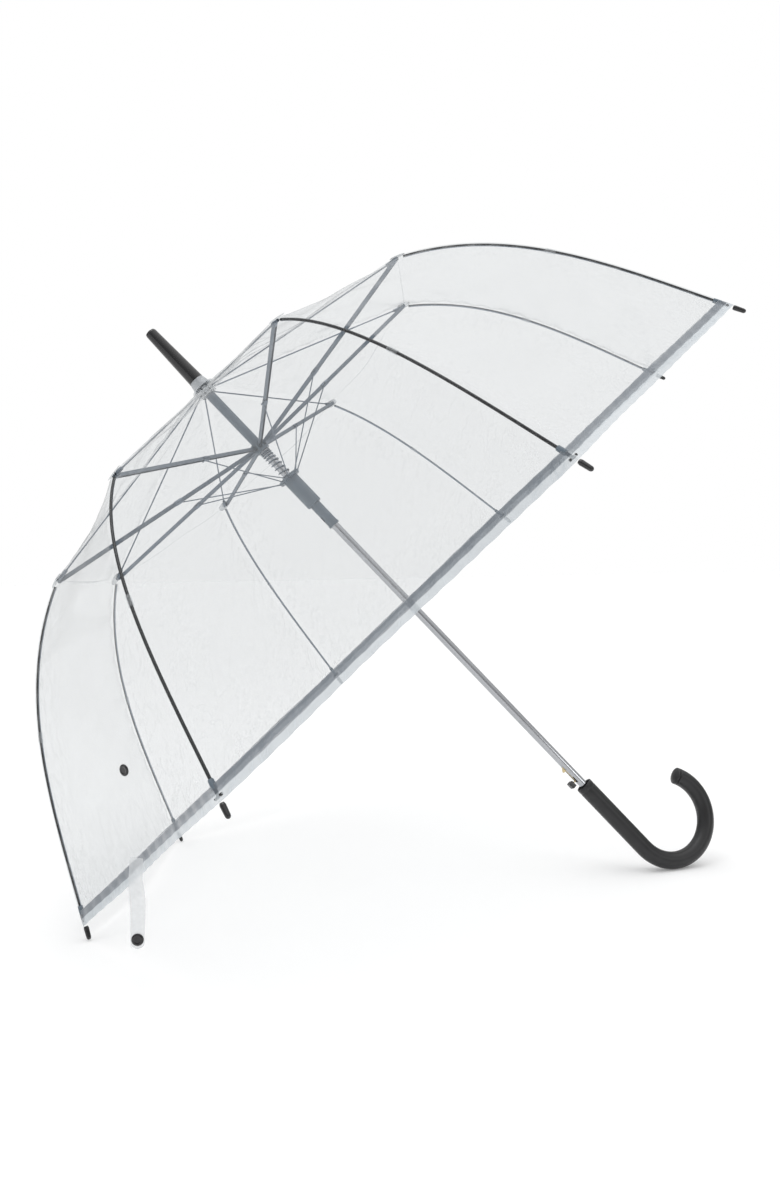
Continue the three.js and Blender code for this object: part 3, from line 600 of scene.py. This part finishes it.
# ---- Ribs and their fittings ----
def build_lower_rib(k):
    """A round glass-fibre rod along the lower rib's line."""
    share = np.linspace(0, 1, ROD_RINGS)
    line, direction = lower_rib_line(share)
    centres = at_spoke(k, line[:, 0], RIB_SIDE, line[:, 1])
    outward, sideways = spoke_axes(k)
    tangents = direction[:, :1] * outward + direction[:, 1:] * TO_CROWN
    radii = np.full(ROD_RINGS, LOWER_RIB_RADIUS)
    radii[[0, -1]] = POLE
    centres[[0, -1]] = centres[[1, -2]] + (centres[[0, -1]] - centres[[1, -2]]) * 0.02
    # The map's first value marks the inner face, which the rod's material lightens as a painted highlight.
    facing_out = -np.sin(np.linspace(0, 2 * np.pi, ROD_SIDES, endpoint=False))
    uv = np.stack(np.broadcast_arrays(facing_out[None, :], share[:, None]), axis=-1)
    surface = sweep(centres, tangents, sideways, radii, ROD_SIDES)
    rod = grid_object(f"rib_rod_{k}", surface, f"lower_rib_{k}", wrap_u=True, uv=uv)
    dress(rod, BLACK_RIB)
    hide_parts(f"lower_rib_{k}")


def on_lower_rib(k, v, lift=0.0):
    """(place, direction down the rib) at share v of the lower rib, lifted off its centre line."""
    line, direction = lower_rib_line(np.array(v))
    line = line + lift * outward_of(direction)
    outward, _ = spoke_axes(k)
    return at_spoke(k, line[0], RIB_SIDE, line[1]), direction[0] * outward + direction[1] * TO_CROWN


def barrel(name, body, place, axis, radius, length, material, bulge=1.08):
    """A short sleeve with rounded shoulders, centred on place."""
    half = length / 2
    profile = rounded([(radius * 0.55, -half), (radius, -half), (radius * bulge, 0), (radius, half),
                       (radius * 0.55, half), (radius * 0.55, -half)], radius * 0.3)
    return dress(turned(name, profile, body, place, axis, 18, ring=True), material)


def build_rib_fittings(k):
    """The hem's socket and clip at the tip, the film's tie tab, and the crimped elbow with its guard."""
    place, along = on_lower_rib(k, SOCKET_AT)
    barrel(f"hem_socket_{k}", f"lower_rib_{k}", place, along, 0.0025, 0.009, GREY_PLASTIC)
    _, sideways = spoke_axes(k)
    place, along = on_lower_rib(k, CLIP_AT)
    barrel(
        f"tip_clip_{k}", f"lower_rib_{k}", place, sideways, 0.0013, 0.009, BLACK_GLOSS
    )
    place, along = on_lower_rib(k, TAB_AT)
    barrel(f"tie_tab_{k}", f"lower_rib_{k}", place, along, 0.0024, 0.012, TAB_FILM, 1.0)
    outward, _ = spoke_axes(k)
    up_rib = UP_RIB[0] * outward + UP_RIB[1] * TO_CROWN
    elbow = at_spoke(k, ELBOW[0], RIB_SIDE, ELBOW[1])
    crimp = elbow - CRIMP_LENGTH / 2 * up_rib
    barrel(f"elbow_crimp_{k}", f"upper_rib_{k}", crimp, up_rib, 0.0019, CRIMP_LENGTH, STEEL)
    normal = ELBOW_NORMAL[0] * outward + ELBOW_NORMAL[1] * TO_CROWN
    disc = rounded([(POLE, 0.0018), (GUARD_RADIUS, 0.0016), (GUARD_RADIUS, 0.002), (POLE, 0.0023)], 0.0002)
    guard = turned(f"elbow_guard_{k}", disc, f"upper_rib_{k}", elbow, normal, 28)
    dress(guard, GUARD_FILM)
    uphill = np.cross(normal, sideways)
    gather_at = elbow + GUARD_GATHER * uphill
    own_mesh(guard)


def build_link_clevis(k):
    """The crimped clevis that carries the link's end on the stretcher."""
    outward, _ = spoke_axes(k)
    bar = (ELBOW - HUB_PIVOT) / np.linalg.norm(ELBOW - HUB_PIVOT)
    pivot = HUB_PIVOT + LINK_SHARE * (ELBOW - HUB_PIVOT)
    along = bar[0] * outward + bar[1] * TO_CROWN
    place = at_spoke(k, pivot[0], STRETCHER_SIDE, pivot[1])
    barrel(f"link_clevis_{k}", f"stretcher_{k}", place, along, 0.0028, 0.011, STEEL)
    _, sideways = spoke_axes(k)
    pin = at_spoke(k, pivot[0], LINK_SIDE / 2 - 0.0012, pivot[1])
    barrel(f"link_pin_{k}", f"stretcher_{k}", pin, sideways, 0.001, 0.008, STEEL)


# ---- Handle, spring, strap and snaps ----
def crook_path(s):
    """Centre and direction at distance s from the mouth: straight, then round the crook's circle."""
    outward = math.cos(RELEASE_TURN) * OUT_UP + math.sin(RELEASE_TURN) * ACROSS
    straight = MOUTH - CROOK_START
    turn = np.clip((s - straight) / CROOK_RADIUS, 0, None)
    r = CROOK_RADIUS * (1 - np.cos(turn))
    z = np.where(s < straight, MOUTH - s, CROOK_START - CROOK_RADIUS * np.sin(turn))
    centres = BASE + r[:, None] * outward + z[:, None] * TO_CROWN
    tangents = np.sin(turn)[:, None] * outward - np.cos(turn)[:, None] * TO_CROWN
    return centres, tangents


def build_handle():
    """A round tube along the crook's path: a rolled lip at the mouth, the outer wall, and the bore back."""
    length = MOUTH - CROOK_START + CROOK_RADIUS * CROOK_SWEEP
    lip = [(0.016, HANDLE_BORE), (0.0, HANDLE_BORE), (0.0, HANDLE_RADIUS), (0.006, HANDLE_RADIUS)]
    lip = rounded(lip, 0.0016)
    groove = [(0.0065, HANDLE_RADIUS - 0.0003), (0.0071, HANDLE_RADIUS - 0.0003), (0.0076, HANDLE_RADIUS)]
    body = np.stack((np.linspace(0.009, length - 0.0006, 150), np.full(150, HANDLE_RADIUS)), axis=-1)
    end = [(length, HANDLE_RADIUS - 0.0006), (length, HANDLE_BORE)]
    back = np.stack((np.linspace(length - 0.004, 0.02, 90), np.full(90, HANDLE_BORE)), axis=-1)
    course = np.concatenate((lip, groove, body, end, back))
    centres, tangents = crook_path(course[:, 0])
    side = np.cross(OUT_UP * math.cos(RELEASE_TURN) + ACROSS * math.sin(RELEASE_TURN), TO_CROWN)
    surface = sweep(centres, tangents, side, course[:, 1], HANDLE_SIDES)
    tube = grid_object("crook_handle", surface, "root", wrap_u=True, wrap_v=True)
    dress(tube, BLACK_SATIN)
    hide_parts("handle")
    centres, tangents = crook_path(np.array([length]))
    dome = [(HANDLE_RADIUS * math.cos(a), 0.0022 + (CAP_LENGTH - 0.0022) * math.sin(a))
            for a in np.linspace(0, math.pi / 2 - 0.001, 12)]
    profile = [(POLE, 0.0003), (HANDLE_RADIUS - 0.0005, 0.0003), (HANDLE_RADIUS, 0.0009)] + dome
    cap = turned("crook_end_cap", profile, "root", centres[0], tangents[0], HANDLE_SIDES)
    dress(cap, BLACK_SATIN)
    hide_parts("handle_end_cap")


def build_spring():
    """A round wire along a helix between the hub and the runner, with close end turns."""
    top, end = SPRING_TOP, SPRING_END
    t = np.linspace(0, 1, SPRING_TURNS * 28)
    angle = 2 * np.pi * SPRING_TURNS * t
    z = top + (end - top) * (t - np.sin(2 * np.pi * t) / (4 * np.pi))
    centres = (BASE + SPRING_RADIUS * np.cos(angle)[:, None] * OUT_UP
               + SPRING_RADIUS * np.sin(angle)[:, None] * ACROSS + z[:, None] * TO_CROWN)
    tangents = np.gradient(centres, axis=0)
    tangents /= np.linalg.norm(tangents, axis=-1, keepdims=True)
    radii = np.full(len(t), SPRING_WIRE)
    radii[[0, -1]] = POLE
    coil = grid_object("opening_spring", sweep(centres, tangents, TO_CROWN, radii, 8), "hub", wrap_u=True)
    dress(coil, STEEL)
    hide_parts("main_spring")
    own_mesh(coil)


def strap_root():
    """(place, across) where the strap leaves the hem: a point, and the level direction of the hem there."""
    line = film_line(np.array(1 - SCALLOP * 0.9), "lower")
    ends = [at_spoke(STRAP_PANEL + side, line[0], RIB_SIDE, line[1]) for side in (0, 1)]
    across = ends[1] - ends[0]
    place = ends[0] + STRAP_ACROSS * across
    across = across * (1, 1, 0)
    return place, across / np.linalg.norm(across)


def gather(piece):
    """Gives a strap piece its own copy of its mesh."""
    outward, sideways = spoke_axes(STRAP_PANEL)
    place = at_spoke(STRAP_PANEL, RIM[0], RIB_SIDE, RIM[1])
    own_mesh(piece)


def build_strap():
    """A strip of doubled film that hangs plumb from the hem, turns to face the side, and ends round."""
    place, across = strap_root()
    rows, columns = 60, 17
    t = np.linspace(0, 1, rows)[:, None]
    s = np.linspace(-1, 1, columns)[None, :]
    drop = -STRAP_SEWN + t * (STRAP_LENGTH + STRAP_SEWN)
    taper = 1 - 0.18 * smooth(drop / STRAP_LENGTH)
    end_radius = STRAP_WIDTH * 0.41
    into_end = ((drop - (STRAP_LENGTH - end_radius)) / end_radius).clip(0, 1)
    round_end = np.sqrt(np.clip(1 - into_end ** 2, 1e-4, 1))
    half = STRAP_WIDTH / 2 * taper * round_end
    swing = 0.003 + 0.0035 * smooth(drop / STRAP_LENGTH)
    swing = swing + 0.0006 * np.sin(2 * np.pi * drop / 0.05) + 0.0004 * s ** 2
    turn = (0.55 + 0.45 * smooth(drop / STRAP_TWIST))[..., None]
    level = (1 - turn) * across + turn * np.array((1.0, 0, 0))
    level = level / np.linalg.norm(level, axis=-1, keepdims=True)
    outwards = np.cross(level, (0, 0, 1.0))
    points = place + (s * half)[..., None] * level - (drop + 0 * s)[..., None] * np.array((0, 0, 1.0))
    points = points + (swing + 0 * s)[..., None] * outwards
    strip = grid_object("closing_strap_film", points, f"lower_rib_{STRAP_PANEL}")
    dress(strip, STRAP_FILM)
    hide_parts("closing_strap")
    gather(strip)
    facing = np.cross((1.0, 0, 0), (0, 0, 1.0))
    snap_place = place + facing * 0.0068 - np.array((0, 0, STRAP_LENGTH - STRAP_WIDTH * 0.55))
    button = build_snap("strap_press_stud", snap_place, facing)
    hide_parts("strap_snap")


def build_snap(name, place, facing):
    """A press stud: a low dome with a rolled rim and a dimple."""
    profile = rounded([(POLE, 0.0), (SNAP_RADIUS, 0.0), (SNAP_RADIUS, 0.0011), (SNAP_RADIUS * 0.72, 0.0019),
                       (SNAP_RADIUS * 0.45, 0.0014), (POLE, 0.0015)], 0.0006)
    button = turned(name, profile, f"lower_rib_{STRAP_PANEL}", place, facing, 36)
    dress(button, BLACK_GLOSS)
    gather(button)
    return button


def build_canopy_snap():
    """The stud that the strap closes on, sunk to where the film sags and turned a little aside."""
    _, direction = lower_rib_line(np.array(CANOPY_SNAP_AT))
    outward, _ = spoke_axes(STRAP_PANEL)
    line = film_line(np.array(CANOPY_SNAP_AT), "lower")
    ends = [at_spoke(STRAP_PANEL + side, line[0], RIB_SIDE, line[1]) for side in (0, 1)]
    normal = np.cross(direction[0] * outward + direction[1] * TO_CROWN, ends[1] - ends[0])
    normal /= np.linalg.norm(normal)
    if np.dot(normal, outward) < 0:
        normal = -normal
    place = ends[0] + CANOPY_SNAP_ACROSS * (ends[1] - ends[0]) - SNAP_SINK * normal
    facing = normal - SNAP_TURN * ACROSS
    button = build_snap("canopy_press_stud", place, facing / np.linalg.norm(facing))
    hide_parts("canopy_snap")


# ---- CAD nodes that stay ----
NODE_FINISHES = {
    "shaft_tube": CHROME,
    "ferrule": BLACK_GLOSS,
    "apex_collar": FROSTED,
    "crown_washer": GUARD_FILM,
    "top_notch": FROSTED,
    "crown_wire": STEEL,
    "top_sleeve": GREY_PLASTIC,
    "stretcher_hub": GREY_PLASTIC,
    "runner": GREY_PLASTIC,
    "runner_tube": GREY_PLASTIC,
    "handle_bush": BLACK_SATIN,
    "catch_lever": BRASS,
    "release_button": BLACK_GLOSS,
}


def dress_cad():
    """Materials on the CAD nodes that stay in sight."""
    for node, material in NODE_FINISHES.items():
        dress_node(node, material)
    for k in range(1, SPOKES + 1):
        dress_node(f"tip_cap_{k}", BLACK_GLOSS)
        dress_node(f"upper_rib_{k}", STEEL)
        dress_node(f"stretcher_{k}", STEEL)
        dress_node(f"spreader_link_{k}", STEEL)


# ---- Stage ----
def build_floor():
    """A pale, flat floor at z 0, wide enough to meet the bright surround at the horizon."""
    reach = np.linspace(-30, 30, 3)
    points = np.stack(np.broadcast_arrays(reach[None, :], reach[:, None], 0 * reach[:, None]), axis=-1)
    floor = grid_object("studio_floor", points[::-1], "root")
    finish = Finish("floor_paper")
    grain = finish.noise(finish.place(), 30.0)
    floor.data.materials.append(finish.shade(finish.node("ShaderNodeBsdfPrincipled", {}, {
        "Base Color": finish.tint(grain, rgb(0.87, 0.87, 0.87), rgb(0.88, 0.88, 0.88)),
        "Roughness": 0.9,
        "Specular IOR Level": 0.0,
        "Emission Color": rgb(1.0, 1.0, 1.0),
        "Emission Strength": 0.15,
    })))


def area_light(name, place, aim, size, power):
    """A soft square light, turned to shine from place to aim."""
    lamp = bpy.data.lights.new(name, "AREA")
    lamp.shape = "SQUARE"
    lamp.size = size
    lamp.energy = power
    light = bpy.data.objects.new(name, lamp)
    bpy.context.scene.collection.objects.link(light)
    light.location = place
    light.rotation_euler = (Vector(aim) - Vector(place)).to_track_quat("-Z", "Y").to_euler()


def build_lights():
    """A white backdrop all round, under a light that is the same from every side and brightest overhead.

    The light in a direction is SIDE_LIGHT plus OVERHEAD_LIGHT times the square of its upward part.
    """
    world = bpy.data.worlds.new("studio")
    bpy.context.scene.world = world
    bpy.context.scene.view_settings.view_transform = "Standard"
    world.use_nodes = True
    nodes, links = world.node_tree.nodes, world.node_tree.links
    direction = nodes.new("ShaderNodeTexCoord")
    split = nodes.new("ShaderNodeSeparateXYZ")
    squared = nodes.new("ShaderNodeMath")
    squared.operation = "POWER"
    squared.inputs[1].default_value = 2.0
    light = nodes.new("ShaderNodeMapRange")
    light.inputs["To Min"].default_value = SIDE_LIGHT
    light.inputs["To Max"].default_value = SIDE_LIGHT + OVERHEAD_LIGHT
    ray = nodes.new("ShaderNodeLightPath")
    seen = nodes.new("ShaderNodeMix")
    seen.inputs[3].default_value = 1.0
    links.new(direction.outputs["Generated"], split.inputs[0])
    links.new(split.outputs["Z"], squared.inputs[0])
    links.new(squared.outputs[0], light.inputs["Value"])
    links.new(ray.outputs["Is Camera Ray"], seen.inputs[0])
    links.new(light.outputs["Result"], seen.inputs[2])
    links.new(seen.outputs[0], nodes["Background"].inputs["Strength"])
    nodes["Background"].inputs["Color"].default_value = rgb(1.0, 1.0, 1.0)
    area_light("overhead", (-0.3, -0.5, 2.4), (0, 0, 0.2), 0.9, 5)
    area_light("left_fill", (-2.2, -1.4, 1.1), (0, 0, 0.35), 0.5, 2.5)
    area_light("right_fill", (2.1, -1.5, 0.9), (0, 0, 0.3), 0.5, 2.5)


def build_camera():
    """The view across the open dome from its left side, a little above floor level."""
    lens = bpy.data.cameras.new("camera")
    lens.sensor_fit = "VERTICAL"
    lens.sensor_height = 36.0
    lens.lens = 31.58
    lens.shift_x = -0.058
    lens.shift_y = -0.0176
    camera = bpy.data.objects.new("camera", lens)
    bpy.context.scene.collection.objects.link(camera)
    camera.location = (0.0531, -1.2747, 0.3795)
    camera.rotation_euler = tuple(math.radians(turn) for turn in (89.305, 1.0755, -0.9366))
    bpy.context.scene.camera = camera


build_camera()
build_floor()
build_lights()
dress_cad()
build_canopy()
for spoke in range(1, SPOKES + 1):
    build_lower_rib(spoke)
    build_rib_fittings(spoke)
    build_link_clevis(spoke)
build_handle()
build_spring()
build_strap()
build_canopy_snap()
